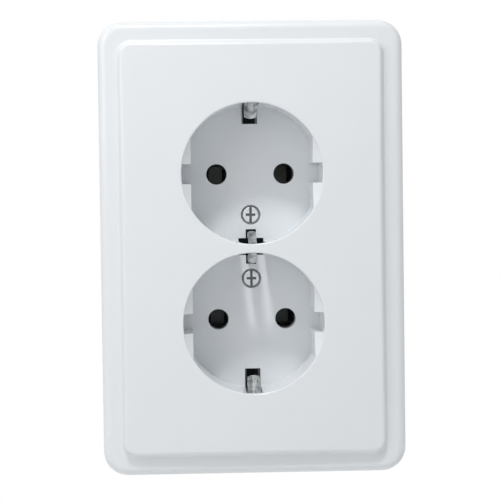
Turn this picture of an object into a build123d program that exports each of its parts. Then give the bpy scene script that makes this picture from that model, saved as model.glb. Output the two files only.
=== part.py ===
from build123d import *
import os
from math import radians, tan

# Double flush wall socket: two earthed outlets on one plate, for a single wall box.
# It is modelled lying face up: x to the right, y up the plate, z out of the wall.
# The wall plane is z = 0, the insert is below it, and the origin is the middle of the box screws.
# When a piece is written it is stood against the wall, so z becomes -Y and y becomes Z.

# Front cover: outline, stepped edge and crowned face
plate_width = 84.0
plate_height = 125.0
plate_corner = 7.0
skirt_draft = 0.8
edge_round = 2.4
ledge_width = 3.1
ledge_height = 20.0
step_angle = 25.0
raised_corner = 4.0
face_height = 23.0
crown_radius = 2200.0
face_edge_round = 0.9
ledge_round = 0.4
cover_wall = 2.0
face_wall = 2.4
rib_thickness = 1.2
rib_foot = 8.0

# Plug recesses
outlet_pitch = 41.0
recess_diameter = 38.6
recess_depth = 17.5
guide_width = 33.4
guide_notch = 5.5
cup_wall = 1.6
cup_floor = 2.2
rim_round = 0.35
rim_land = 0.6

# Pin holes in the cup floors
pin_spacing = 19.0
pin_hole = 5.8
pin_length = 19.0
collar_wall = 1.2
collar_foot = 0.3

# Earth openings in the cups
clip_slot_width = 4.4
clip_slot_reach = 5.2
clip_slot_bridge = 1.0
window_width = 7.05
window_depth = 2.4
window_bridge = 3.5
stem_width = 2.9
stem_reach = 4.9

# Cover screws
cover_screw_offset = 9.0
screw_head = 4.6
screw_head_height = 1.4
screw_shank = 2.8
screw_length = 8.0
screw_slot = 0.7
screw_slot_depth = 0.7
screw_cross = 2.7
screw_recess = 5.6
screw_sink = 0.15
boss_wall = 1.9

# Earth strip and its clips
strip_thickness = 1.0
strip_width = 7.0
clip_width = 3.4
clip_thickness = 0.8
clip_reach = 4.3
clip_leg = 1.6
clip_nose_height = 12.5
clip_tip_gap = 2.4
clip_bend = 1.0
clip_crown = 0.5
inner_clip_width = 2.3
inner_clip_reach = 3.4
inner_clip_leg = 1.9
inner_clip_crown = 0.3
inner_clip_pad = 6.0
earth_rivet_shank = 2.0
earth_rivet_head = 2.8
rivet_head_height = 0.7

# Support frame on the wall
frame_thickness = 1.0
frame_width = 71.0
frame_arm = 20.0
frame_lip = 1.3
frame_core_height = 58.0
frame_height = 92.0
frame_shoulder = 5.5
frame_corner = 2.0
box_screw_spacing = 60.0
box_slot_width = 4.2
box_slot_length = 7.0
tapped_collar_wall = 0.8
tapped_collar_depth = 1.6
frame_rivet_inset = 2.0
frame_rivet_y = 13.0
frame_rivet_shank = 2.4
frame_rivet_head = 4.2
frame_rivet_depth = 8.0

# Insert in the wall box
box_diameter = 57.0
base_width = 40.4
base_depth = 19.0
base_wall = 1.6
block_depth = 25.0
block_height = 22.4
shield_thickness = 1.5
shield_wall = 0.7
pocket_width = 7.0
pocket_end = 3.1

# Contact strips
brass = 0.7
contact_width = 5.0
contact_grip = 4.2
contact_mouth = 5.2
contact_root = 4.5
contact_top = 2.2
contact_grip_depth = 7.5
pin_overrun = 3.0
grip_spring = 0.35
grip_spring_width = 2.6
grip_spring_wrap = 0.7

# Screwless terminals at the rear: one cell per pole
earth_terminal_face = -3.5
terminal_width = 14.0
terminal_reach = 5.5
cell_depth = 12.2
wire_offset = 1.6
wire_entry = 3.4
wire_funnel = 4.4
wire_funnel_depth = 1.0
clamp_sheet = 0.4
clamp_anchor = 6.0
clamp_loop = 4.2
clamp_tip = 0.7
clamp_tip_drop = 6.2
clamp_finger = 4.2
lid_thickness = 2.5
lid_height = 18.8
lid_corner = 1.0
button_width = 2.6
button_height = 4.2
button_start = 2.4
button_proud = 1.5
button_travel = 1.5
button_flange = 1.4
button_flange_start = 3.5
button_flange_end = 5.3
button_finger = 1.0

# Spreading claws and their screws
claw_screw_out = 2.4
claw_screw_shank = 3.5
claw_screw_head = 5.8
claw_screw_head_height = 2.2
claw_screw_length = 11.0
claw_screw_slot = 0.9
claw_pivot_in = 1.2
claw_pivot_depth = 3.0
claw_sheet = 1.2
claw_cheek = 3.6
claw_arm_out = 6.2
claw_tip_depth = 14.5
claw_swing = 18.0
claw_lug = 1.8
claw_ear_width = 3.0
claw_ear_sheet = 1.0
claw_bay_depth = 8.0
claw_teeth = 3
claw_tooth = 1.2

# Clearances
slip = 0.2
running = 0.3
close_fit = 0.05

# How far a cut runs past the face that it opens
overcut = 1.0

# Heights and places that follow from the sizes above
recess_radius = recess_diameter / 2
cup_radius = recess_radius + cup_wall
outlet_y = outlet_pitch / 2
pin_x = pin_spacing / 2
floor_front = face_height - recess_depth
floor_back = floor_front - cup_floor
face_back = face_height - face_wall
step_height = face_height - ledge_height
strip_back = frame_thickness
strip_front = strip_back + strip_thickness
screw_seat = floor_front - screw_sink - screw_head_height
raised_width = plate_width - 2 * (edge_round + ledge_width)
raised_height = plate_height - 2 * (edge_round + ledge_width)
contact_foot = floor_front - pin_length - pin_overrun
shield_seat = -shield_thickness - close_fit
pocket_foot = contact_foot - brass - slip
pocket_x = pin_x - pocket_width / 2
pocket_y = outlet_y + pocket_end
lid_front = -block_depth + lid_thickness
flange_end = lid_front + running
insert_radius = box_diameter / 2
base_side = base_width / 2
frame_core_width = base_width + 2 * frame_lip
frame_band = frame_core_width - 2 * frame_shoulder
frame_rivet_x = base_side - frame_rivet_inset
terminal_face = base_side - base_wall - slip - clamp_sheet / 2 - clamp_anchor
lid_width = base_width - 2 * base_wall
claw_screw_x = base_side + claw_screw_out
claw_pivot_x = base_side - claw_pivot_in
claw_arm_end = base_side + claw_arm_out
claw_tip_x = claw_arm_end + claw_tooth
claw_bay_x = claw_pivot_x - claw_ear_width / 2 - running
claw_bay_y = claw_cheek + claw_sheet + running + claw_ear_sheet + running
shield_width = 2 * (claw_bay_x - shield_wall)
sides = (-1, 1)
poles = (("live", -terminal_face, -1), ("earth", earth_terminal_face, 1), ("neutral", terminal_face, 1))


def block(x_span, y_span, z_span):
    """A box between two limits on each axis."""
    spans = (x_span, y_span, z_span)
    middle = [(low + high) / 2 for low, high in spans]
    size = [abs(high - low) for low, high in spans]
    return Pos(*middle) * Box(*size)


def post(x, y, z_span, radius):
    """A round bar along z."""
    low, high = z_span
    return Pos(x, y, (low + high) / 2) * Cylinder(radius, high - low)


def slab(sketch, z_span):
    """A flat outline given a thickness along z."""
    low, high = z_span
    return Pos(0, 0, low) * extrude(sketch, high - low)


def bent_sheet(points, bend, thickness, width):
    """Sheet bent along (across, z) points in the xz plane, as wide as given along y."""
    profile = trace(FilletPolyline(*points, radius=bend), thickness)
    return extrude(Plane.XZ * profile, width / 2, both=True)


def crowned_sheet(points, bend, thickness, width, crown):
    """Sheet bent along (across, z) points in the xz plane, and crowned over its width along y."""
    path = Plane.XZ * FilletPolyline(*points, radius=bend)
    half = width / 2
    arcs = []
    for rise in (-thickness / 2, thickness / 2):
        arcs.append(ThreePointArc((-half, rise - crown), (0, rise), (half, rise - crown)))
    sides_of_section = [Line(arcs[0] @ end, arcs[1] @ end) for end in (0, 1)]
    start = Plane(origin=path @ 0, x_dir=(0, 1, 0), z_dir=path % 0)
    return sweep(start * make_face(arcs + sides_of_section), path=path)


def save(name, *solids):
    """Stand the piece against the wall and write it."""
    standing = [Rot(90, 0, 0) * solid for solid in solids]
    shape = standing[0] if len(standing) == 1 else Compound(children=standing)
    export_step(shape, f"parts/{name}.step")


# Front cover

def cover_outside():
    """The plate's outer form: drafted skirt, rounded edge, ledge, sloped step and crowned face."""
    outline = RectangleRounded(plate_width, plate_height, plate_corner)
    skirt = extrude(outline, ledge_height, taper=skirt_draft)
    skirt = fillet(skirt.edges().group_by(Axis.Z)[-1], edge_round)
    foot = RectangleRounded(raised_width, raised_height, raised_corner)
    raised = slab(foot, (0, ledge_height))
    raised += extrude(Plane.XY.offset(ledge_height) * foot, step_height + overcut, taper=step_angle)
    crown = Pos(0, 0, face_height - crown_radius) * Rot(90, 0, 0) * Sphere(crown_radius)
    raised = raised & crown
    raised = fillet(raised.faces().sort_by(Axis.Z)[-1].edges(), face_edge_round)
    outside = skirt + raised
    return fillet(outside.edges().filter_by(on_raised_foot), ledge_round)


def on_raised_foot(edge):
    """True for an edge where the sloped step stands on the ledge."""
    middle = edge.center()
    inside_width = abs(middle.X) < raised_width / 2 + close_fit
    inside_height = abs(middle.Y) < raised_height / 2 + close_fit
    return inside_width and inside_height and abs(middle.Z - ledge_height) < close_fit


def shell_space():
    """The space inside the walls of the plate, before cups and ribs."""
    inner_width = plate_width - 2 * cover_wall
    inner_height = plate_height - 2 * cover_wall
    outline = RectangleRounded(inner_width, inner_height, plate_corner - cover_wall)
    hollow = extrude(outline, ledge_height - cover_wall, taper=skirt_draft)
    inset = 2 * (cover_wall + step_height * tan(radians(step_angle)))
    top = RectangleRounded(raised_width - inset, raised_height - inset, raised_corner)
    return hollow + slab(top, (0, face_back))


def cover_ribs():
    """Stiffening ribs from the cups to the skirt."""
    half = rib_thickness / 2
    z_span = (rib_foot, face_back)
    ribs = block((-half, half), (-plate_height / 2, plate_height / 2), z_span)
    for y in (-outlet_y, outlet_y):
        ribs += block((-plate_width / 2, plate_width / 2), (y - half, y + half), z_span)
    return ribs


def cup_recess(y):
    """The plug recess: a short land at the rim, two guide flats with their lead-in, and their notches."""
    round_plan = Circle(recess_radius)
    plan = round_plan & Rectangle(guide_width, recess_diameter)
    plan += round_plan & Rectangle(recess_diameter, guide_notch)
    above = face_height + overcut
    recess = slab(plan, (floor_front, above))
    guide_radius = guide_width / 2
    lead = recess_radius - guide_radius
    land = face_height - (outlet_y ** 2 + recess_radius ** 2) / (2 * crown_radius) - rim_land
    lead_foot = land - lead
    wall = [(guide_radius, lead_foot), (recess_radius, land), (recess_radius, above)]
    points = [(0, lead_foot), *wall, (0, above)]
    profile = Polyline(*points, close=True)
    recess += revolve(Plane.XZ * make_face(profile), Axis.Z)
    return Pos(0, y, 0) * recess


def cup_openings(side):
    """Outer clip slot and inner T-shaped slot of one cup."""
    slot_start = side * (outlet_y + recess_radius - clip_slot_reach)
    slot_end = side * (outlet_y + cup_radius + overcut)
    half_slot = clip_slot_width / 2
    z_span = (0, face_height - clip_slot_bridge - face_edge_round)
    openings = block((-half_slot, half_slot), (slot_start, slot_end), z_span)
    half_stem = stem_width / 2
    openings += block((-half_stem, half_stem), (0, side * stem_reach), (0, floor_front))
    return openings


def on_rim(edge):
    """True for an edge where a plug recess breaks through the crowned face."""
    point = edge @ 0.5
    across = Vector(point.X, abs(point.Y) - outlet_y).length
    return point.Z > face_height - rim_land and abs(across - recess_radius) < close_fit


def rear_space():
    """The open space behind the plate, around cups, ribs, pin collars and screw bosses."""
    space = shell_space() - cover_ribs()
    for side in sides:
        y = side * outlet_y
        space -= post(0, y, (floor_back, face_height), cup_radius)
        space -= post(0, side * cover_screw_offset, (strip_front, floor_front), screw_shank / 2 + boss_wall)
        for x in (-pin_x, pin_x):
            space -= post(x, y, (collar_foot, floor_front), pin_hole / 2 + collar_wall)
    return space


def front_cover():
    """The one-piece moulding with both cups."""
    cover = cover_outside()
    for side in sides:
        cover -= cup_recess(side * outlet_y)
    cover = fillet(cover.edges().filter_by(on_rim), rim_round)
    cover -= rear_space()
    for side in sides:
        for x in (-pin_x, pin_x):
            cover -= post(x, side * outlet_y, (0, floor_front + overcut), pin_hole / 2)
        screw_y = side * cover_screw_offset
        cover -= post(0, screw_y, (0, floor_front), screw_shank / 2 + slip)
        cover -= post(0, screw_y, (screw_seat, floor_front + overcut), screw_recess / 2)
        cover -= cup_openings(side)
    half = window_width / 2
    return cover - block((-half, half), (-window_depth, window_depth), (0, face_height - window_bridge))


def cover_screws():
    """The two screws in the cup floors, with slot and cross recess."""
    top = screw_seat + screw_head_height
    slot_foot = top - screw_slot_depth
    screws = []
    for side in sides:
        y = side * cover_screw_offset
        head = fillet(post(0, y, (screw_seat, top), screw_head / 2).edges().group_by(Axis.Z)[-1], rim_round)
        half = screw_slot / 2
        head -= block((-half, half), (y - screw_head, y + screw_head), (slot_foot, top))
        head -= block((-screw_cross / 2, screw_cross / 2), (y - half, y + half), (slot_foot, top))
        shank = post(0, y, (screw_seat - screw_length, screw_seat), screw_shank / 2)
        screws.append(head + shank)
    return screws


# Earthing

def earth_strip():
    """Strip under the cups, with the outer clips and the tongue of the earth terminal."""
    end = outlet_y + recess_radius + clip_leg
    strip = block((-strip_width / 2, strip_width / 2), (-outlet_y, outlet_y), (strip_back, strip_front))
    half = clip_width / 2
    middle = (strip_back + strip_front) / 2
    strip += block((-half, half), (-end, end), (strip_back, strip_front))
    nose = outlet_y + recess_radius - clip_reach + clip_thickness / 2
    tip = outlet_y + recess_radius + clip_thickness / 2
    points = (
        (end, middle),
        (end, floor_front + clip_bend),
        (nose, clip_nose_height),
        (tip, face_height - clip_tip_gap),
    )
    clip = Rot(0, 0, 90) * crowned_sheet(points, clip_bend, clip_thickness, clip_width, clip_crown)
    strip += clip
    strip += mirror(clip, Plane.XZ)
    tongue_y = terminal_width / 2
    tongue_x = (earth_terminal_face - strip_thickness, earth_terminal_face)
    strip += block((tongue_x[0], 0), (-tongue_y, tongue_y), (strip_back, strip_front))
    strip += block(tongue_x, (-tongue_y, tongue_y), (flange_end, strip_front))
    strip -= post(0, 0, (strip_back, strip_front), earth_rivet_shank / 2 + close_fit)
    for side in sides:
        strip -= post(0, side * cover_screw_offset, (strip_back, strip_front), screw_shank / 2 + slip)
    return strip


def inner_earth_clip():
    """The two noses in the window between the cups, bent up from one riveted pad."""
    half = inner_clip_pad / 2
    pad_front = strip_front + clip_thickness
    pad_end = inner_clip_leg + clip_thickness / 2
    pad = block((-half, half), (-pad_end, pad_end), (strip_front, pad_front))
    nose = outlet_y - recess_radius + inner_clip_reach - clip_thickness / 2
    tip = outlet_y - recess_radius
    points = (
        (inner_clip_leg, strip_front),
        (inner_clip_leg, floor_front + clip_bend),
        (nose, clip_nose_height),
        (tip, face_height - window_bridge - clip_bend),
    )
    leg = crowned_sheet(points, clip_bend, clip_thickness, inner_clip_width, -inner_clip_crown)
    leg = Rot(0, 0, 90) * leg
    clip = pad + leg + mirror(leg, Plane.XZ)
    return clip - post(0, 0, (strip_front, pad_front), earth_rivet_shank / 2 + close_fit)


def rivet(x, y, front, back, shank, head):
    """A rivet with a domed head at the front and an upset end at the back."""
    cap = post(x, y, (front, front + rivet_head_height), head / 2)
    cap = fillet(cap.edges().group_by(Axis.Z)[-1], rivet_head_height / 2)
    tail = post(x, y, (back - rivet_head_height, back), head / 2)
    return cap + post(x, y, (back, front), shank / 2) + tail


def earth_rivet():
    """Holds clip, strip and support frame together."""
    return rivet(0, 0, strip_front + clip_thickness, 0, earth_rivet_shank, earth_rivet_head)


# Support frame

def frame_plan():
    """Outline of the steel frame: core behind the cups, arms to the box screws, band under the strip."""
    plan = Rectangle(frame_core_width, frame_core_height)
    plan += Rectangle(frame_width, frame_arm)
    plan += Rectangle(frame_band, frame_height)
    plan = fillet(plan.vertices(), frame_corner)
    for x in (-pin_x, pin_x):
        for y in (-outlet_y, outlet_y):
            plan -= Pos(x, y) * Circle(pin_hole / 2 + collar_wall + slip)
    for side in sides:
        plan -= Pos(side * box_screw_spacing / 2, 0) * SlotOverall(box_slot_length, box_slot_width)
        plan -= Pos(side * claw_screw_x, 0) * Circle(claw_screw_shank / 2 + running)
        plan -= Pos(0, side * cover_screw_offset) * Circle(screw_shank / 2 + close_fit)
    plan -= Circle(earth_rivet_shank / 2 + close_fit)
    tongue = earth_terminal_face - strip_thickness / 2
    plan -= Pos(tongue, 0) * Rectangle(strip_thickness + 2 * slip, terminal_width + 2 * slip)
    for x in (-frame_rivet_x, frame_rivet_x):
        for y in (-frame_rivet_y, frame_rivet_y):
            plan -= Pos(x, y) * Circle(frame_rivet_shank / 2 + close_fit)
    return plan


def support_frame():
    """Steel frame with tapped collars for the cover screws and ears for the claws."""
    frame = slab(frame_plan(), (0, frame_thickness))
    for side in sides:
        y = side * cover_screw_offset
        collar = post(0, y, (-tapped_collar_depth, 0), screw_shank / 2 + tapped_collar_wall)
        frame += collar - post(0, y, (-tapped_collar_depth, 0), screw_shank / 2 + close_fit)
    ear_drop = claw_pivot_depth + claw_ear_width / 2
    inner = claw_cheek + claw_sheet + running
    for x in (-claw_pivot_x, claw_pivot_x):
        for side in sides:
            y_span = (side * inner, side * (inner + claw_ear_sheet))
            ear = block((x - claw_ear_width / 2, x + claw_ear_width / 2), y_span, (-ear_drop, 0))
            pivot = Pos(x, side * (inner + claw_ear_sheet / 2), -claw_pivot_depth)
            ear -= pivot * Rot(90, 0, 0) * Cylinder(claw_lug / 2 + close_fit, 2 * claw_ear_sheet)
            frame += ear
    return frame


def frame_rivets():
    """Four rivets from the support frame into the insert."""
    rivets = []
    for x in (-frame_rivet_x, frame_rivet_x):
        for y in (-frame_rivet_y, frame_rivet_y):
            cap = post(x, y, (frame_thickness, frame_thickness + rivet_head_height), frame_rivet_head / 2)
            cap = fillet(cap.edges().group_by(Axis.Z)[-1], rivet_head_height / 2)
            rivets.append(cap + post(x, y, (-frame_rivet_depth, frame_thickness), frame_rivet_shank / 2))
    return rivets


# Insert

def insert_plan(width, radius):
    """Round outline with two flat sides, as fits a wall box."""
    return Circle(radius) & Rectangle(width, 2 * radius)


def shield_plan(gap):
    """Outline of the shield, smaller than its seat by the gap."""
    return insert_plan(shield_width - 2 * gap, insert_radius - base_wall - gap)


def contact_shield():
    """Insulating plate over the contact chambers."""
    z_span = (shield_seat, shield_seat + shield_thickness)
    shield = slab(shield_plan(slip), z_span)
    for x in (-pin_x, pin_x):
        for y in (-outlet_y, outlet_y):
            shield -= post(x, y, z_span, pin_hole / 2 - slip)
    shield -= post(0, 0, z_span, earth_rivet_head / 2 + slip)
    for side in sides:
        collar = screw_shank / 2 + tapped_collar_wall + slip
        shield -= post(0, side * cover_screw_offset, z_span, collar)
    return shield - tongue_passage(shield_seat, 0)


def tongue_passage(low, high):
    """The slot that the earth tongue passes through."""
    half = terminal_width / 2 + slip
    x_span = (earth_terminal_face - strip_thickness - slip, earth_terminal_face + slip)
    return block(x_span, (-half, half), (low, high))


def terminal_cell(face, way):
    """The space of one screwless terminal, open to the rear."""
    x_span = (face - way * (strip_thickness + slip), face + way * (clamp_anchor + clamp_sheet / 2 + slip))
    half = terminal_width / 2 + slip
    return block(x_span, (-half, half), (-block_depth, -cell_depth))


def insert_base():
    """Moulded body in the wall box: contact chambers in front, terminal cells at the rear."""
    base = slab(insert_plan(base_width, insert_radius), (-base_depth, 0))
    half_block = block_height / 2
    base += block((-base_side, base_side), (-half_block, half_block), (-block_depth, -base_depth))
    base -= slab(shield_plan(0), (shield_seat, 0))
    for side in sides:
        pocket = (side * pocket_x, side * (pocket_x + pocket_width))
        base -= block(pocket, (-pocket_y, pocket_y), (pocket_foot, 0))
        bay = (side * claw_bay_x, side * base_width)
        base -= block(bay, (-claw_bay_y, claw_bay_y), (-claw_bay_depth, 0))
        screw_y = side * cover_screw_offset
        base -= post(0, screw_y, (screw_seat - screw_length - slip, 0), screw_shank / 2 + slip)
        collar = screw_shank / 2 + tapped_collar_wall + slip
        base -= post(0, screw_y, (-tapped_collar_depth - slip, 0), collar)
    for _, face, way in poles:
        base -= terminal_cell(face, way)
    base -= tongue_passage(-cell_depth, 0)
    lid = RectangleRounded(lid_width + 2 * slip, lid_height + 2 * slip, lid_corner)
    base -= slab(lid, (-block_depth, lid_front))
    for x in (-frame_rivet_x, frame_rivet_x):
        for y in (-frame_rivet_y, frame_rivet_y):
            base -= post(x, y, (-frame_rivet_depth - slip, 0), frame_rivet_shank / 2 + close_fit)
    return base


def contact_strip(side):
    """Brass strip of one pole: a hairpin contact per outlet, joined by a bar with the terminal flange."""
    x = side * pin_x
    centre = contact_foot - brass / 2
    mouth = contact_mouth / 2 + brass / 2
    grip = contact_grip / 2 + brass / 2
    root = contact_root / 2 + brass / 2
    half_path = ((mouth, -contact_top), (grip, -contact_grip_depth), (root, centre))
    points = half_path + tuple((-across, z) for across, z in reversed(half_path))
    hairpin = bent_sheet(points, brass, brass, contact_width)
    strip = block((x - root, x + root), (-outlet_y, outlet_y), (contact_foot - brass, contact_foot))
    for y in (-outlet_y, outlet_y):
        strip += Pos(x, y, 0) * hairpin
    flange_y = terminal_width / 2
    face = side * terminal_face
    strip += block((x, face), (-flange_y, flange_y), (contact_foot - brass, contact_foot))
    strip += block((face - side * brass, face), (-flange_y, flange_y), (flange_end, contact_foot))
    return strip


def contact_springs():
    """Steel clips that press the hairpins onto the pins."""
    inner = contact_grip / 2 + brass + slip
    across = inner + grip_spring / 2
    back = contact_width / 2 + slip + grip_spring / 2
    wrap = -back * grip_spring_wrap
    points = ((across, wrap), (across, back), (-across, back), (-across, wrap))
    profile = trace(FilletPolyline(*points, radius=grip_spring), grip_spring)
    low = -contact_grip_depth - grip_spring_width / 2
    clip = slab(profile, (low, low + grip_spring_width))
    springs = []
    for x in (-pin_x, pin_x):
        springs.append(Pos(x, -outlet_y, 0) * clip)
        springs.append(Pos(x, outlet_y, 0) * Rot(0, 0, 180) * clip)
    return springs


# Screwless terminals

def clamp_spring(face, way):
    """Leaf spring of one terminal: anchor leg, loop and two clamping fingers."""
    top = -cell_depth - slip - clamp_sheet / 2
    tip = top - clamp_tip_drop
    points = (
        (clamp_anchor, lid_front + button_flange + button_travel + 2 * running),
        (clamp_anchor, top),
        (clamp_loop, top),
        (clamp_tip, tip),
    )
    leaf = bent_sheet(points, clamp_sheet, clamp_sheet, terminal_width)
    gap = terminal_reach - clamp_finger / 2
    finger_zone = (0, clamp_anchor - clamp_sheet)
    leaf -= block(finger_zone, (-gap, gap), (tip - overcut, top - clamp_sheet))
    return Pos(face, 0, 0) * (leaf if way > 0 else mirror(leaf, Plane.YZ))


def release_button(face, way):
    """Plunger that lifts both fingers of one clamp spring."""
    half = button_height / 2
    flange_half = terminal_width / 2 - running
    flange_back = lid_front + running
    flange_front = flange_back + button_flange
    stem_x = (button_start, button_start + button_width)
    stem = block(stem_x, (-half, half), (-block_depth - button_proud, flange_front))
    stem = fillet(stem.edges().group_by(Axis.Z)[0], running)
    button = stem + block(
        (button_flange_start, button_flange_end), (-flange_half, flange_half), (flange_back, flange_front)
    )
    slope = clamp_tip_drop / (clamp_loop - clamp_tip)
    finger_x = button_flange_start
    under = -cell_depth - slip - clamp_sheet - (clamp_loop - finger_x) * slope
    finger_top = under - clamp_sheet - running
    for side in sides:
        y = side * terminal_reach
        y_span = (y - button_finger, y + button_finger)
        button += block((finger_x, finger_x + button_finger), y_span, (flange_back, finger_top))
    return Pos(face, 0, 0) * (button if way > 0 else mirror(button, Plane.YZ))


def terminal_cover():
    """Rear lid with funnelled wire entries and a window for each release button."""
    cover = slab(RectangleRounded(lid_width, lid_height, lid_corner), (-block_depth, lid_front))
    for _, face, way in poles:
        for side in sides:
            x = face + way * wire_offset
            y = side * terminal_reach
            cover -= post(x, y, (-block_depth, lid_front), wire_entry / 2)
            middle = -block_depth + wire_funnel_depth / 2
            cover -= Pos(x, y, middle) * Cone(wire_funnel / 2, wire_entry / 2, wire_funnel_depth)
        window = (face + way * (button_start - slip), face + way * (button_start + button_width + slip))
        half = button_height / 2 + slip
        cover -= block(window, (-half, half), (-block_depth, lid_front))
    return cover


# Spreading claws

def claw(side):
    """Pressed claw: slotted arm, two toothed cheeks and the pivot lugs."""
    arm_z = (-claw_pivot_depth - claw_sheet, -claw_pivot_depth)
    arm_start = claw_pivot_x - claw_lug / 2
    outer = claw_cheek + claw_sheet
    arm = block((arm_start, claw_arm_end), (-outer, outer), arm_z)
    slot_width = claw_screw_shank + 2 * running
    swing_room = claw_sheet * tan(radians(claw_swing)) + 2 * running
    slot = SlotOverall(slot_width + 2 * swing_room, slot_width)
    arm -= slab(Pos(claw_screw_x, 0) * slot, arm_z)
    tip_z = -claw_pivot_depth - claw_tip_depth
    heel_x = base_side + running
    outline = [
        (arm_start, -claw_pivot_depth),
        (claw_arm_end, -claw_pivot_depth),
        (claw_arm_end, tip_z + claw_teeth * 2 * claw_tooth),
    ]
    for n in range(claw_teeth):
        root_z = tip_z + (claw_teeth - n) * 2 * claw_tooth
        outline.append((claw_tip_x, root_z - claw_tooth))
        outline.append((claw_arm_end, root_z - 2 * claw_tooth))
    outline.append((heel_x + claw_sheet, tip_z))
    outline.append((heel_x, -claw_bay_depth))
    outline.append((arm_start, -claw_pivot_depth - claw_lug))
    profile = Plane.XZ * make_face(Polyline(*outline, close=True))
    cheek = extrude(profile, claw_sheet)
    piece = arm + Pos(0, outer, 0) * cheek + Pos(0, -claw_cheek, 0) * cheek
    lug_end = outer + running + claw_ear_sheet + running / 2
    pivot = Pos(claw_pivot_x, 0, -claw_pivot_depth)
    for way in sides:
        lug = Pos(0, way * (claw_cheek + lug_end) / 2, 0) * Rot(90, 0, 0) * Cylinder(
            claw_lug / 2, lug_end - claw_cheek
        )
        piece += pivot * lug
    return piece if side > 0 else mirror(piece, Plane.YZ)


def claw_screw(side):
    """Slotted screw that draws the claw's arm forward."""
    x = side * claw_screw_x
    top = frame_thickness + claw_screw_head_height
    head = post(x, 0, (frame_thickness, top), claw_screw_head / 2)
    head = fillet(head.edges().group_by(Axis.Z)[-1], running)
    half = claw_screw_slot / 2
    slot_foot = top - claw_screw_head_height / 2
    head -= block((x - claw_screw_head, x + claw_screw_head), (-half, half), (slot_foot, top))
    return head + post(x, 0, (frame_thickness - claw_screw_length, frame_thickness), claw_screw_shank / 2)


def main():
    """Build every piece and write it."""
    os.makedirs("parts", exist_ok=True)
    save("front_cover", front_cover())
    save("cover_screws", *cover_screws())
    save("earth_strip", earth_strip())
    save("inner_earth_clip", inner_earth_clip())
    save("earth_rivet", earth_rivet())
    save("support_frame", support_frame())
    save("frame_rivets", *frame_rivets())
    save("contact_shield", contact_shield())
    save("insert_base", insert_base())
    save("live_contact_strip", contact_strip(-1))
    save("neutral_contact_strip", contact_strip(1))
    save("contact_springs", *contact_springs())
    for pole, face, way in poles:
        save(f"clamp_spring_{pole}", clamp_spring(face, way))
        save(f"release_button_{pole}", release_button(face, way))
    save("terminal_cover", terminal_cover())
    for name, side in (("left", -1), ("right", 1)):
        save(f"claw_{name}", claw(side))
        save(f"claw_screw_{name}", claw_screw(side))


main()
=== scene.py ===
"""Looks of a flush double wall socket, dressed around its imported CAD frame.

The row frame is in metres: x to the right, y into the wall, z up the plate.
Sizes in the classes are in millimetres, as on a drawing.
"""

import logging
import math
from dataclasses import dataclass, field
from enum import Enum

import bmesh
import bpy
from mathutils import Matrix, Vector

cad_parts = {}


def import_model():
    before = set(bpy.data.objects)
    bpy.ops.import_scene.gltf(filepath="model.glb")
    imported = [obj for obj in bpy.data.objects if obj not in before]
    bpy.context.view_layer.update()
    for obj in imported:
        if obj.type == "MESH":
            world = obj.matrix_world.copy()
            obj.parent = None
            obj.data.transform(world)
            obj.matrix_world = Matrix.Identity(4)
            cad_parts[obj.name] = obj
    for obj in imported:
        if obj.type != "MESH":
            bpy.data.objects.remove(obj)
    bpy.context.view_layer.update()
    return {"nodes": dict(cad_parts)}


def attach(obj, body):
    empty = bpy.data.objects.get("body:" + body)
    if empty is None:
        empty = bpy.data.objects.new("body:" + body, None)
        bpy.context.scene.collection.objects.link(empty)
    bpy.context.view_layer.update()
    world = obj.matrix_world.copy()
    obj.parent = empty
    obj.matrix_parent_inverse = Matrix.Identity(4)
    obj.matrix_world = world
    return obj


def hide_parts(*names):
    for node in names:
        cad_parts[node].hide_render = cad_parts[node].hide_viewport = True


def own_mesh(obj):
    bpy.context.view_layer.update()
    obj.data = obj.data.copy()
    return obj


LOG = logging.getLogger("double_socket")
MM = 0.001
WELD_MM = 0.0001

Colour = tuple[float, float, float, float]
Point = tuple[float, float, float]
Face = tuple[int, ...]


def linear(hex_colour: str) -> Colour:
    """Turns an sRGB hex colour to linear light.

    Args:
        hex_colour: Six hex digits, such as "E8EAEC".

    Returns:
        Linear red, green, blue and an alpha of one.
    """
    steps = [int(hex_colour[i : i + 2], 16) / 255 for i in (0, 2, 4)]
    lit = [s / 12.92 if s <= 0.04045 else ((s + 0.055) / 1.055) ** 2.4 for s in steps]
    return lit[0], lit[1], lit[2], 1.0


def add_node(
    tree: bpy.types.NodeTree,
    kind: str,
    values: dict | None = None,
    links: dict | None = None,
    **settings,
) -> bpy.types.Node:
    """Adds a shader node with its settings and links.

    Args:
        tree: Node tree that takes the node.
        kind: Blender's name of the node type.
        values: Constants for the node's own input sockets, by name or index.
        links: Output sockets to join to the inputs, by name or index.
        **settings: Properties of the node itself.

    Returns:
        The new node.
    """
    node = tree.nodes.new(kind)
    for name, value in settings.items():
        setattr(node, name, value)
    for name, value in (values or {}).items():
        node.inputs[name].default_value = value
    for name, socket in (links or {}).items():
        tree.links.new(socket, node.inputs[name])
    return node


def blank_material(name: str) -> tuple[bpy.types.Material, bpy.types.NodeTree, bpy.types.Node]:
    """Starts a material with one shader.

    Args:
        name: Name of the material.

    Returns:
        The material, its node tree and its Principled shader.
    """
    material = bpy.data.materials.new(name)
    material.use_nodes = True
    tree = material.node_tree
    return material, tree, tree.nodes["Principled BSDF"]


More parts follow.
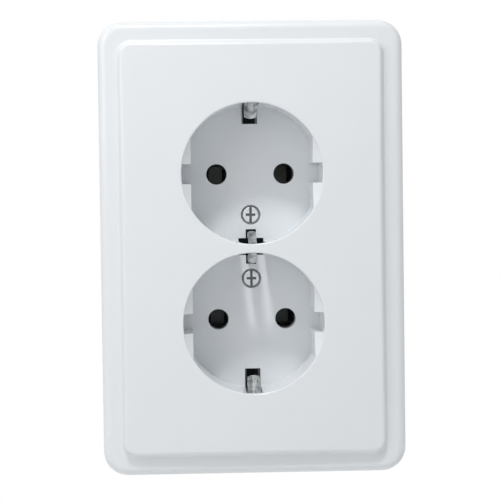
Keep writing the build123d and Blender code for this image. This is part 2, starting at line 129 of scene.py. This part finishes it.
def add_piece(name: str, corners: list[Point], faces: list[Face], crease: float = 35.0) -> bpy.types.Object:
    """Makes a mesh piece, welded, facing outwards, and smooth but for its creases.

    Args:
        name: Name of the piece.
        corners: Corners in millimetres, in the row frame.
        faces: Corner numbers of each face.
        crease: Faces that meet at more than this angle, in degrees, keep a sharp edge.

    Returns:
        The new object, linked to the scene.
    """
    mesh = bpy.data.meshes.new(name)
    mesh.from_pydata([(x * MM, y * MM, z * MM) for x, y, z in corners], [], faces)
    shell = bmesh.new()
    shell.from_mesh(mesh)
    bmesh.ops.remove_doubles(shell, verts=shell.verts, dist=WELD_MM * MM)
    bmesh.ops.recalc_face_normals(shell, faces=shell.faces)
    shell.to_mesh(mesh)
    shell.free()
    mesh.shade_smooth()
    mesh.set_sharp_from_angle(angle=math.radians(crease))
    piece = bpy.data.objects.new(name, mesh)
    bpy.context.scene.collection.objects.link(piece)
    return piece


class Lay(Enum):
    """How a metal surface was worked: the stretch of its marks along x, y and z."""

    TUMBLED = (1.0, 1.0, 1.0)
    ROLLED_UP = (1.0, 1.0, 0.06)
    ROLLED_ACROSS = (0.06, 1.0, 1.0)


@dataclass(frozen=True)
class MouldedPlastic:
    """Injection-moulded plastic: pigment, sheen, and the faint clouds and peel that the tool leaves.

    Attributes:
        name: Name of the material and its process.
        colour: Pigment, sRGB hex.
        shade: The slightly different tone where the melt flowed, sRGB hex.
        roughness: Lowest and highest roughness.
        flow_mm: Size of the flow clouds.
        peel_mm: Size of the surface's fine peel or spark grain.
        peel_depth_mm: Depth of that peel.
        ior: Index of refraction of the resin.
    """

    name: str
    colour: str
    shade: str
    roughness: tuple[float, float]
    flow_mm: float
    peel_mm: float
    peel_depth_mm: float
    ior: float = 1.53

    def make(self) -> bpy.types.Material:
        """Builds the material.

        Returns:
            The procedural material.
        """
        material, tree, shader = blank_material(self.name)
        place = {"Vector": add_node(tree, "ShaderNodeTexCoord").outputs["Object"]}
        cloud = {"Scale": 1 / (self.flow_mm * MM), "Detail": 3.0}
        flow = add_node(tree, "ShaderNodeTexNoise", cloud, place).outputs["Fac"]
        tones = {6: linear(self.colour), 7: linear(self.shade)}
        tone = add_node(tree, "ShaderNodeMix", tones, {0: flow}, data_type="RGBA")
        grain = {"Scale": 1 / (self.peel_mm * MM), "Detail": 2.0}
        peel = add_node(tree, "ShaderNodeTexNoise", grain, place).outputs["Fac"]
        sheen = {"To Min": self.roughness[0], "To Max": self.roughness[1]}
        gloss = add_node(tree, "ShaderNodeMapRange", sheen, {"Value": peel})
        relief = {"Strength": 1.0, "Distance": self.peel_depth_mm * MM}
        bump = add_node(tree, "ShaderNodeBump", relief, {"Height": peel})
        shader.inputs["IOR"].default_value = self.ior
        tree.links.new(tone.outputs[2], shader.inputs["Base Color"])
        tree.links.new(gloss.outputs["Result"], shader.inputs["Roughness"])
        tree.links.new(bump.outputs["Normal"], shader.inputs["Normal"])
        return material


@dataclass(frozen=True)
class WorkedMetal:
    """Sheet or turned metal with its plating, working marks and tarnish, and painted shade where it lies
    deeper than the front.

    Attributes:
        name: Name of the material and its process.
        colour: Clean metal, sRGB hex.
        tarnish: Stained or passivated tone, sRGB hex.
        stain: Share of the surface that the tarnish tones.
        roughness: Lowest and highest roughness.
        lay: Run of the working marks.
        mark_mm: Width of a working mark.
        mark_depth_mm: Depth of a working mark.
        cloud_mm: Size of the tarnish clouds.
        painted_shade: Painted shade on what lies deeper than the front, sRGB hex, or nothing.
        painted_shade_y_mm: Depths where that painted shade starts and where it is full.
    """

    name: str
    colour: str
    tarnish: str
    stain: float
    roughness: tuple[float, float]
    lay: Lay
    mark_mm: float
    mark_depth_mm: float
    cloud_mm: float
    painted_shade: str = ""
    painted_shade_y_mm: tuple[float, float] = (0.0, 0.0)

    def make(self) -> bpy.types.Material:
        """Builds the material.

        Returns:
            The procedural material.
        """
        material, tree, shader = blank_material(self.name)
        place = {"Vector": add_node(tree, "ShaderNodeTexCoord").outputs["Object"]}
        run = add_node(tree, "ShaderNodeMapping", {"Scale": self.lay.value}, place)
        grain = {"Scale": 1 / (self.mark_mm * MM), "Detail": 3.0}
        marks = add_node(tree, "ShaderNodeTexNoise", grain, {"Vector": run.outputs["Vector"]}).outputs["Fac"]
        cloud = {"Scale": 1 / (self.cloud_mm * MM), "Detail": 4.0}
        clouds = add_node(tree, "ShaderNodeTexNoise", cloud, place).outputs["Fac"]
        spread = {"From Min": 0.35, "From Max": 0.7, "To Max": self.stain}
        stain = add_node(tree, "ShaderNodeMapRange", spread, {"Value": clouds}).outputs["Result"]
        tones = {6: linear(self.colour), 7: linear(self.tarnish)}
        tone = add_node(tree, "ShaderNodeMix", tones, {0: stain}, data_type="RGBA")
        # Painted shade: what lies deeper than the front blends into a flat dark tone, as shade in a recess.
        if self.painted_shade:
            depth = add_node(tree, "ShaderNodeSeparateXYZ", None, place).outputs["Y"]
            edges = {"From Min": self.painted_shade_y_mm[0] * MM, "From Max": self.painted_shade_y_mm[1] * MM}
            painted_shade_share = add_node(tree, "ShaderNodeMapRange", edges, {"Value": depth}).outputs["Result"]
            tones = {7: linear(self.painted_shade)}
            tone = add_node(tree, "ShaderNodeMix", tones, {0: painted_shade_share, 6: tone.outputs[2]}, data_type="RGBA")
        sheen = {"To Min": self.roughness[0], "To Max": self.roughness[1]}
        gloss = add_node(tree, "ShaderNodeMapRange", sheen, {"Value": marks})
        relief = {"Strength": 1.0, "Distance": self.mark_depth_mm * MM}
        bump = add_node(tree, "ShaderNodeBump", relief, {"Height": marks})
        shader.inputs["Metallic"].default_value = 1.0
        tree.links.new(tone.outputs[2], shader.inputs["Base Color"])
        tree.links.new(gloss.outputs["Result"], shader.inputs["Roughness"])
        tree.links.new(bump.outputs["Normal"], shader.inputs["Normal"])
        return material


Finish = MouldedPlastic | WorkedMetal

# Thermoplastic from a polished tool: a cool white with a wet, even gloss.
COVER_WHITE = MouldedPlastic(
    "moulded_gloss_white_thermoplastic", "E9ECEF", "E5E9EC", (0.16, 0.24), 18.0, 0.9, 0.0012, 1.5
)
# Black polyamide: dark and dull, so the pin holes swallow the light.
SHIELD_BLACK = MouldedPlastic("moulded_black_polyamide", "141A1C", "1A2022", (0.5, 0.62), 6.0, 0.35, 0.004)
# Grey polyamide from a spark-eroded tool: even grey with a fine matt grain.
BASE_GREY = MouldedPlastic("moulded_grey_polyamide", "C4C7C9", "B8BCBF", (0.46, 0.6), 9.0, 0.4, 0.006)
# Dark grey polyamide of the rear lid, with the same grain.
LID_GREY = MouldedPlastic("moulded_dark_grey_polyamide", "8F9295", "84878A", (0.44, 0.56), 9.0, 0.4, 0.005)
# Orange polyamide of the live and neutral release buttons: even, with a soft sheen.
BUTTON_ORANGE = MouldedPlastic("moulded_orange_polyamide", "E0721E", "D8691A", (0.36, 0.48), 4.0, 0.3, 0.004)
# Green polyamide of the earth release button, with the same sheen.
BUTTON_GREEN = MouldedPlastic("moulded_green_polyamide", "6FA33C", "669A36", (0.36, 0.48), 4.0, 0.3, 0.004)
# Zinc-plated screws: pale cool grey with a soft sparkle from the barrel plating.
SCREW_ZINC = WorkedMetal(
    "barrel_zinc_plated_steel", "D9DBDC", "B9BDC0", 0.6, (0.24, 0.4), Lay.TUMBLED, 0.3, 0.004, 1.5
)
# The same plating on the cover screws, with painted shade in the driver recess and down the side of the head.
COVER_SCREW_ZINC = WorkedMetal(
    "barrel_zinc_plated_slotted_steel", "E4E6E7", "C6CACC", 0.6, (0.42, 0.56), Lay.TUMBLED, 0.3, 0.004, 0.8,
    "6C7072", (-5.3, -5.1),
)
# Nickel-plated spring sheet: bright streaked silver where plugs rub the clips, clouds of dark tarnish, and
# painted shade further in.
EARTH_NICKEL = WorkedMetal(
    "nickel_plated_rolled_bronze", "F4F4F2", "3A3A39", 0.8, (0.16, 0.28), Lay.ROLLED_UP, 0.3, 0.001, 2.2,
    "1C1E1F", (-11.5, -7.0),
)
# Zinc-plated steel sheet: grey with bluish clouds of passivation.
FRAME_ZINC = WorkedMetal(
    "blue_passivated_zinc_steel_sheet", "A9AEB2", "868F97", 0.7, (0.28, 0.45), Lay.ROLLED_UP, 0.35, 0.003, 7.0
)
# Plated steel rivets, upset by a snap tool: dull silver with small dents.
RIVET_STEEL = WorkedMetal(
    "upset_plated_steel", "CDCDCB", "ACADAB", 0.5, (0.26, 0.42), Lay.TUMBLED, 0.3, 0.004, 1.6
)
# Tin-plated brass: dull grey, darkened as painted shade so that the pin holes stay dark, with a little yellow
# where the plating is thin.
CONTACT_BRASS = WorkedMetal(
    "tin_plated_rolled_brass", "6F7678", "57584E", 0.7, (0.34, 0.5), Lay.ROLLED_UP, 0.25, 0.002, 4.0
)
# Hardened spring steel: grey with the blue-brown of its tempering.
SPRING_STEEL = WorkedMetal(
    "tempered_spring_steel_sheet", "9A9A99", "6E6964", 0.6, (0.3, 0.44), Lay.ROLLED_UP, 0.2, 0.002, 2.5
)
# Yellow-passivated steel sheet of the claws: straw to faint rose clouds over the zinc.
CLAW_YELLOW = WorkedMetal(
    "yellow_passivated_steel_sheet", "D6CBA0", "C2AE86", 0.7, (0.3, 0.46), Lay.ROLLED_ACROSS, 0.3, 0.003, 3.5
)


@dataclass
class PaintShop:
    """Makes each material once and puts it on the pieces.

    Attributes:
        cad: CAD objects by node name.
        made: Materials made so far.
    """

    cad: dict[str, bpy.types.Object]
    made: dict[str, bpy.types.Material] = field(default_factory=dict)

    def paint(self, piece: bpy.types.Object, finish: Finish, slot: str) -> None:
        """Puts a finish on a piece.

        Args:
            piece: The piece.
            finish: Its finish.
            slot: Name of that finish's slot; not used.
        """
        if finish.name not in self.made:
            self.made[finish.name] = finish.make()
        piece.data.materials.clear()
        piece.data.materials.append(self.made[finish.name])
        LOG.info("dressed %s in %s", piece.name, finish.name)

    def paint_nodes(self, finish: Finish, slot: str, *nodes: str) -> None:
        """Puts a finish on some CAD nodes.

        Args:
            finish: Their finish.
            slot: Name of that finish's slot, handed on to paint.
            *nodes: Names of the CAD nodes.
        """
        for name in nodes:
            self.paint(self.cad[name], finish, slot)


class Side(Enum):
    """A side of the socket, as seen from the front."""

    LEFT = -1
    RIGHT = 1


@dataclass
class FrontCover:
    """The white moulding with both cups, and the two screws in the cup floors.

    Attributes:
        shop: Paints the pieces.
    """

    shop: PaintShop

    def dress(self) -> None:
        """Dresses the moulding and its screws."""
        self.shop.paint_nodes(COVER_WHITE, "cover_plastic", "front_cover")
        self.shop.paint_nodes(COVER_SCREW_ZINC, "screw_steel", "cover_screws")


@dataclass
class EarthRail:
    """The strip with the outer clips, the inner clip and the rivet that joins them.

    Attributes:
        shop: Paints the pieces.
    """

    shop: PaintShop

    def dress(self) -> None:
        """Dresses the rail in its plating."""
        self.shop.paint_nodes(EARTH_NICKEL, "earth_metal", "earth_strip", "inner_earth_clip", "earth_rivet")


@dataclass
class Insert:
    """What sits in the wall box: steel frame, rivets, shield, base and rear lid.

    Attributes:
        shop: Paints the pieces.
    """

    shop: PaintShop

    def dress(self) -> None:
        """Dresses the insert's sheet metal and mouldings."""
        self.shop.paint_nodes(FRAME_ZINC, "frame_steel", "support_frame")
        self.shop.paint_nodes(RIVET_STEEL, "rivet_steel", "frame_rivets")
        self.shop.paint_nodes(SHIELD_BLACK, "shield_plastic", "contact_shield")
        self.shop.paint_nodes(BASE_GREY, "base_plastic", "insert_base")
        self.shop.paint_nodes(LID_GREY, "lid_plastic", "terminal_cover")


@dataclass
class ContactSet:
    """Contact strips with their grip springs.

    Attributes:
        shop: Paints the pieces.
    """

    shop: PaintShop

    def dress(self) -> None:
        """Dresses the metal that carries the current."""
        self.shop.paint_nodes(CONTACT_BRASS, "contact_brass", "live_contact_strip", "neutral_contact_strip")
        self.shop.paint_nodes(SPRING_STEEL, "spring_steel", "contact_springs")


class Pole(Enum):
    """A terminal's pole: where its contact face lies across the socket, and the way that the face looks."""

    LIVE = (-12.2, -1)
    EARTH = (-3.5, 1)
    NEUTRAL = (12.2, 1)


@dataclass
class Terminal:
    """A release button and its clamp spring, whose fingers are a piece of their own.

    Attributes:
        shop: Paints the pieces.
        pole: The terminal's pole.
        sheet: Thickness of the spring sheet.
        anchor: Distance of the leg from the contact face.
        loop: Distance where the fingers leave the loop.
        tip: Distance of the fingers' tips.
        loop_y: Depth of the loop.
        leg_y: Depth of the leg's end.
        tip_y: Depth of the tips.
        half_width: Half the width of the spring.
        inner_edge: Distance of each finger's inner edge from the middle.
        bend_steps: Corners in each bend of the sheet.
        pressed: Share of their depth that the fingers keep under a pressed button; not used.
    """

    shop: PaintShop
    pole: Pole
    sheet: float = 0.4
    anchor: float = 6.0
    loop: float = 4.2
    tip: float = 0.7
    loop_y: float = 12.6
    leg_y: float = 19.0
    tip_y: float = 18.8
    half_width: float = 7.0
    inner_edge: float = 3.4
    bend_steps: int = 6
    pressed: float = 0.34

    def dress(self) -> None:
        """Dresses the button in the colour of its pole and builds the spring."""
        name = self.pole.name.lower()
        if self.pole is Pole.EARTH:
            self.shop.paint_nodes(BUTTON_GREEN, "earth_button_plastic", f"release_button_{name}")
        else:
            self.shop.paint_nodes(BUTTON_ORANGE, "button_plastic", f"release_button_{name}")
        leg = self.leg(f"clamp_spring_leg_{name}")
        fingers = self.fingers(f"clamp_spring_fingers_{name}")
        for piece in (leg, fingers):
            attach(piece, "socket")
            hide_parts(f"clamp_spring_{name}")
            self.shop.paint(piece, SPRING_STEEL, "spring_steel")
        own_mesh(fingers)

    def leg(self, name: str) -> bpy.types.Object:
        """Builds the leg along the cell's wall and the loop at its front.

        Args:
            name: Name of the piece.

        Returns:
            The leg.
        """
        line = [(self.anchor, self.leg_y)]
        for i in range(self.bend_steps + 1):
            angle = math.pi / 2 * i / self.bend_steps
            line.append(
                (
                    self.anchor - self.sheet * (1.0 - math.cos(angle)),
                    self.loop_y + self.sheet * (1.0 - math.sin(angle)),
                )
            )
        line.append((self.loop, self.loop_y))
        corners: list[Point] = []
        faces: list[Face] = []
        self.strip(line, (-self.half_width, self.half_width), corners, faces)
        return add_piece(name, corners, faces)

    def fingers(self, name: str) -> bpy.types.Object:
        """Builds the two fingers that clamp the wires.

        Args:
            name: Name of the piece.

        Returns:
            Both fingers.
        """
        line = [(self.loop, self.loop_y), (self.tip, self.tip_y)]
        corners: list[Point] = []
        faces: list[Face] = []
        for span in ((-self.half_width, -self.inner_edge), (self.inner_edge, self.half_width)):
            self.strip(line, span, corners, faces)
        return add_piece(name, corners, faces)

    def strip(
        self,
        line: list[tuple[float, float]],
        span: tuple[float, float],
        corners: list[Point],
        faces: list[Face],
    ) -> None:
        """Adds a bent strip of the spring sheet.

        Args:
            line: Middle of the sheet: distances from the contact face and depths.
            span: Lower and upper edge of the strip.
            corners: Corners so far, which grow.
            faces: Faces so far, which grow.
        """
        face_x, way = self.pole.value
        start = len(corners)
        for i, (out, depth) in enumerate(line):
            before, after = line[max(i - 1, 0)], line[min(i + 1, len(line) - 1)]
            run = Vector((after[0] - before[0], after[1] - before[1])).normalized() * self.sheet / 2
            for z in span:
                corners.append((face_x + way * (out - run.y), depth + run.x, z))
                corners.append((face_x + way * (out + run.y), depth - run.x, z))
        for i in range(len(line) - 1):
            a, b = start + 4 * i, start + 4 * (i + 1)
            for j, k in ((0, 1), (1, 3), (3, 2), (2, 0)):
                faces.append((a + j, a + k, b + k, b + j))
        end = len(corners) - 4
        faces.append((start, start + 2, start + 3, start + 1))
        faces.append((end, end + 1, end + 3, end + 2))


@dataclass
class SpreadingClaw:
    """A claw and its screw. The screw is built anew, with its thread.

    Attributes:
        shop: Paints the pieces.
        side: Side of the socket.
        axis_x: Distance of the screw's axis from the middle.
        seat_y: Depth of the face under the head.
        shank: Outer diameter of the thread.
        length: Length under the head.
        pitch: Pitch of the thread.
        thread_depth: Depth of the thread.
        plain: Length under the head that has no thread.
        head: Diameter of the head.
        head_height: Height of the head.
        slot_width: Width of the slot.
        slot_depth: Depth of the slot.
        head_round: Rounding of the head's front edge.
        steps: Corners round the screw.
        rows: Rows of corners in one turn of the thread.
    """

    shop: PaintShop
    side: Side
    axis_x: float = 22.6
    seat_y: float = -1.0
    shank: float = 3.5
    length: float = 11.0
    pitch: float = 0.6
    thread_depth: float = 0.34
    plain: float = 1.2
    head: float = 5.8
    head_height: float = 2.2
    slot_width: float = 0.9
    slot_depth: float = 1.1
    head_round: float = 0.3
    steps: int = 40
    rows: int = 8

    def dress(self) -> None:
        """Dresses the claw and builds its screw."""
        name = self.side.name.lower()
        self.shop.paint_nodes(CLAW_YELLOW, "claw_steel", f"claw_{name}")
        screw = self.screw(f"threaded_claw_screw_{name}")
        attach(screw, f"{name}_claw_screw")
        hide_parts(f"claw_screw_{name}")
        self.shop.paint(screw, SCREW_ZINC, "screw_steel")

    def screw(self, name: str) -> bpy.types.Object:
        """Builds the screw from a turned profile, a thread and the two halves of the slotted head.

        Args:
            name: Name of the piece.

        Returns:
            The screw.
        """
        corners: list[Point] = []
        faces: list[Face] = []
        top = self.seat_y - self.head_height
        foot = top + self.slot_depth
        radius = self.head / 2
        disc = [(0.0, foot), (radius, foot), (radius, self.seat_y)]
        self.skin(disc + self.shank_rows(), corners, faces)
        for way in (-1, 1):
            self.half_head(way, top, foot, corners, faces)
        return add_piece(name, corners, faces)

    def shank_rows(self) -> list[tuple[float, float]]:
        """Lists the shank's rows of corners.

        Returns:
            Radius and depth of each row. A radius below zero marks a row on the thread.
        """
        under = self.seat_y + self.plain
        end = self.seat_y + self.length
        count = round((self.length - self.plain - self.pitch) / self.pitch * self.rows)
        rows = [(self.shank / 2, self.seat_y), (self.shank / 2, under)]
        rows += [(-1.0, under + self.pitch * (i + 1) / self.rows) for i in range(count)]
        return rows + [(self.shank / 2 - self.thread_depth, end), (0.0, end)]

    def skin(self, rows: list[tuple[float, float]], corners: list[Point], faces: list[Face]) -> None:
        """Skins rows of corners round the screw's axis.

        Args:
            rows: Radius and depth of each row. A radius below zero takes the thread's own.
            corners: Corners so far, which grow.
            faces: Faces so far, which grow.
        """
        start = len(corners)
        for radius, depth in rows:
            for i in range(self.steps):
                turn = i / self.steps
                reach = radius
                if radius < 0.0:
                    wave = (depth / self.pitch + turn) % 1.0
                    reach = self.shank / 2 - self.thread_depth * abs(2.0 * wave - 1.0)
                angle = math.tau * turn
                x = self.side.value * self.axis_x + reach * math.cos(angle)
                corners.append((x, depth, reach * math.sin(angle)))
        for row in range(len(rows) - 1):
            a = start + row * self.steps
            b = a + self.steps
            for i in range(self.steps):
                j = (i + 1) % self.steps
                faces.append((a + i, a + j, b + j, b + i))

    def half_head(
        self, way: int, top: float, foot: float, corners: list[Point], faces: list[Face]
    ) -> None:
        """Adds the head's half on one side of the slot.

        Args:
            way: Side of the slot, up or down.
            top: Depth of the head's front.
            foot: Depth of the slot's floor.
            corners: Corners so far, which grow.
            faces: Faces so far, which grow.
        """
        bends = [math.radians(a) for a in (0.0, 30.0, 60.0, 90.0)]
        rows = [(self.head / 2, foot)]
        for bend in bends:
            rows.append(
                (
                    self.head / 2 - self.head_round * (1.0 - math.cos(bend)),
                    top + self.head_round * (1.0 - math.sin(bend)),
                )
            )
        count = self.steps // 2
        start = len(corners)
        for radius, depth in rows:
            low = math.asin(self.slot_width / 2 / radius)
            for i in range(count):
                angle = low + (math.pi - 2.0 * low) * i / (count - 1)
                x = self.side.value * self.axis_x + radius * math.cos(angle)
                corners.append((x, depth, way * radius * math.sin(angle)))
        for row in range(len(rows) - 1):
            a = start + row * count
            b = a + count
            faces += [(a + i, a + i + 1, b + i + 1, b + i) for i in range(count - 1)]
        first = [start + row * count for row in range(len(rows))]
        last = [start + row * count + count - 1 for row in range(len(rows))]
        faces.append(tuple(first + last[::-1]))
        for row in (0, len(rows) - 1):
            faces.append(tuple(start + row * count + i for i in range(count)))


@dataclass(frozen=True)
class Lamp:
    """A square soft lamp that points at the socket.

    Attributes:
        name: Name of the lamp.
        place: Its place, millimetres.
        size: Its side, millimetres.
        power: Its power in watts.
    """

    name: str
    place: Point
    size: float
    power: float

    def hang(self, aim: Point) -> None:
        """Hangs the lamp.

        Args:
            aim: The point that it faces, millimetres.
        """
        data = bpy.data.lights.new(self.name, "AREA")
        data.size = self.size * MM
        data.energy = self.power
        lamp = bpy.data.objects.new(self.name, data)
        lamp.location = Vector(self.place) * MM
        lamp.rotation_mode = "QUATERNION"
        lamp.rotation_quaternion = (Vector(aim) * MM - lamp.location).to_track_quat("-Z", "Y")
        bpy.context.scene.collection.objects.link(lamp)
        LOG.info("hung lamp %s", self.name)


@dataclass
class Studio:
    """White surroundings with soft light, a pale floor, the lamps and the camera.

    Attributes:
        ambient: Grey level of the soft light from all round.
        front_gloss: Grey level of the camera's side in reflections.
        front_narrow: Angle off the camera's side where reflections are darkest, degrees.
        front_wide: Angle from which on they are white, degrees.
        lamps: The lamps.
        aim: What the lamps point at, millimetres.
        floor_middle: Middle of the floor, millimetres.
        floor_radius: Radius of the floor, millimetres.
        floor_sides: Corners round the floor.
        target: What the camera looks at, millimetres.
        azimuth: Camera's turn to the right, degrees.
        elevation: Camera's height over the horizon, degrees.
        roll: Camera's roll, degrees.
        distance: Camera's distance, millimetres.
        lens: Focal length on a 36 mm sensor.
    """

    ambient: float = 0.43
    front_gloss: float = 0.8
    front_narrow: float = 20.0
    front_wide: float = 50.0
    lamps: tuple[Lamp, ...] = (
        Lamp("key", (-60.0, -305.0, 505.0), 60.0, 1.57),
        Lamp("fill", (-220.0, -220.0, 120.0), 200.0, 0.22),
    )
    aim: Point = (0.0, -15.0, 0.0)
    floor_middle: Point = (0.0, -200.0, -95.0)
    floor_radius: float = 300.0
    floor_sides: int = 64
    target: Point = (-0.804, -20.0, -0.488)
    azimuth: float = -2.0
    elevation: float = 2.0
    roll: float = -0.769
    distance: float = 445.2
    lens: float = 116.94

    def build(self) -> None:
        """Sets up the whole studio."""
        scene = bpy.context.scene
        scene.view_settings.view_transform = "Standard"
        self.surroundings(scene)
        self.floor()
        for lamp in self.lamps:
            lamp.hang(self.aim)
        self.camera(scene)

    def surroundings(self, scene: bpy.types.Scene) -> None:
        """Lights the scene softly from all round, on plain white, with a darker front in reflections.

        Args:
            scene: Scene that takes the world.
        """
        world = bpy.data.worlds.new("white_surroundings")
        world.use_nodes = True
        tree = world.node_tree
        tree.nodes.clear()
        path = add_node(tree, "ShaderNodeLightPath").outputs
        way = add_node(tree, "ShaderNodeTexCoord").outputs["Generated"]
        depth = add_node(tree, "ShaderNodeSeparateXYZ", None, {"Vector": way}).outputs["Y"]
        edges = {
            "From Min": -math.cos(math.radians(self.front_narrow)),
            "From Max": -math.cos(math.radians(self.front_wide)),
        }
        levels = {"To Min": self.front_gloss, "To Max": 1.0}
        shine = add_node(tree, "ShaderNodeMapRange", edges | levels, {"Value": depth}).outputs["Result"]
        rays = {0: path["Is Glossy Ray"], 1: path["Is Transmission Ray"]}
        mirrored = add_node(tree, "ShaderNodeMath", None, rays, operation="MAXIMUM").outputs[0]
        light = add_node(tree, "ShaderNodeMix", {2: self.ambient}, {0: mirrored, 3: shine}).outputs[0]
        seen = add_node(tree, "ShaderNodeMix", {3: 1.0}, {0: path["Is Camera Ray"], 2: light}).outputs[0]
        white = {"Color": (1.0, 1.0, 1.0, 1.0)}
        sky = add_node(tree, "ShaderNodeBackground", white, {"Strength": seen}).outputs["Background"]
        add_node(tree, "ShaderNodeOutputWorld", None, {"Surface": sky})
        scene.world = world

    def floor(self) -> None:
        """Lays a pale round floor below the socket, which fades into the white round it."""
        x, y, z = self.floor_middle
        turns = [math.tau * i / self.floor_sides for i in range(self.floor_sides)]
        rim = [(x + self.floor_radius * math.cos(t), y + self.floor_radius * math.sin(t), z) for t in turns]
        corners: list[Point] = [self.floor_middle, *rim]
        last = self.floor_sides
        faces: list[Face] = [(0, 1 + i, 1 + (i + 1) % last) for i in range(last)]
        floor = add_piece("floor", corners, faces)
        floor.data.materials.append(self.floor_paint())

    def floor_paint(self) -> bpy.types.Material:
        """Makes matt white card that fades to plain white at its rim.

        Returns:
            The floor's material.
        """
        material, tree, shader = blank_material("matt_white_card")
        place = add_node(tree, "ShaderNodeTexCoord").outputs["Object"]
        middle = {1: Vector(self.floor_middle) * MM}
        out = add_node(tree, "ShaderNodeVectorMath", middle, {0: place}, operation="DISTANCE")
        edges = {"From Min": 0.45 * self.floor_radius * MM, "From Max": 0.95 * self.floor_radius * MM}
        fade = add_node(tree, "ShaderNodeMapRange", edges, {"Value": out.outputs["Value"]}).outputs["Result"]
        shader.inputs["Base Color"].default_value = linear("EDEDED")
        shader.inputs["Roughness"].default_value = 0.8
        white = add_node(tree, "ShaderNodeEmission", {"Strength": 1.0}).outputs["Emission"]
        layers = {0: fade, 1: shader.outputs["BSDF"], 2: white}
        card = add_node(tree, "ShaderNodeMixShader", None, layers).outputs["Shader"]
        tree.links.new(card, tree.nodes["Material Output"].inputs["Surface"])
        return material

    def camera(self, scene: bpy.types.Scene) -> None:
        """Puts the camera where the photograph was taken.

        Args:
            scene: Scene that takes the camera.
        """
        turn, rise = math.radians(self.azimuth), math.radians(self.elevation)
        back = Vector((math.sin(turn) * math.cos(rise), -math.cos(turn) * math.cos(rise), math.sin(rise)))
        data = bpy.data.cameras.new("camera")
        data.sensor_width = 36.0
        data.lens = self.lens
        data.clip_start = 0.01
        data.clip_end = 20.0
        camera = bpy.data.objects.new("camera", data)
        camera.location = (Vector(self.target) + back * self.distance) * MM
        camera.rotation_mode = "QUATERNION"
        level = (-back).to_track_quat("-Z", "Y")
        camera.rotation_quaternion = level @ Matrix.Rotation(math.radians(self.roll), 3, "Z").to_quaternion()
        scene.collection.objects.link(camera)
        scene.camera = camera


def main() -> None:
    """Loads the frame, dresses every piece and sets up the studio."""
    logging.basicConfig(level=logging.INFO, format="%(name)s: %(message)s")
    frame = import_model()
    shop = PaintShop(frame["nodes"])
    terminals = [Terminal(shop, pole) for pole in Pole]
    claws = [SpreadingClaw(shop, side) for side in Side]
    inside = (Insert(shop), ContactSet(shop), *terminals, *claws)
    for assembly in (FrontCover(shop), EarthRail(shop), *inside):
        assembly.dress()
    Studio().build()


if __name__ == "__main__":
    main()
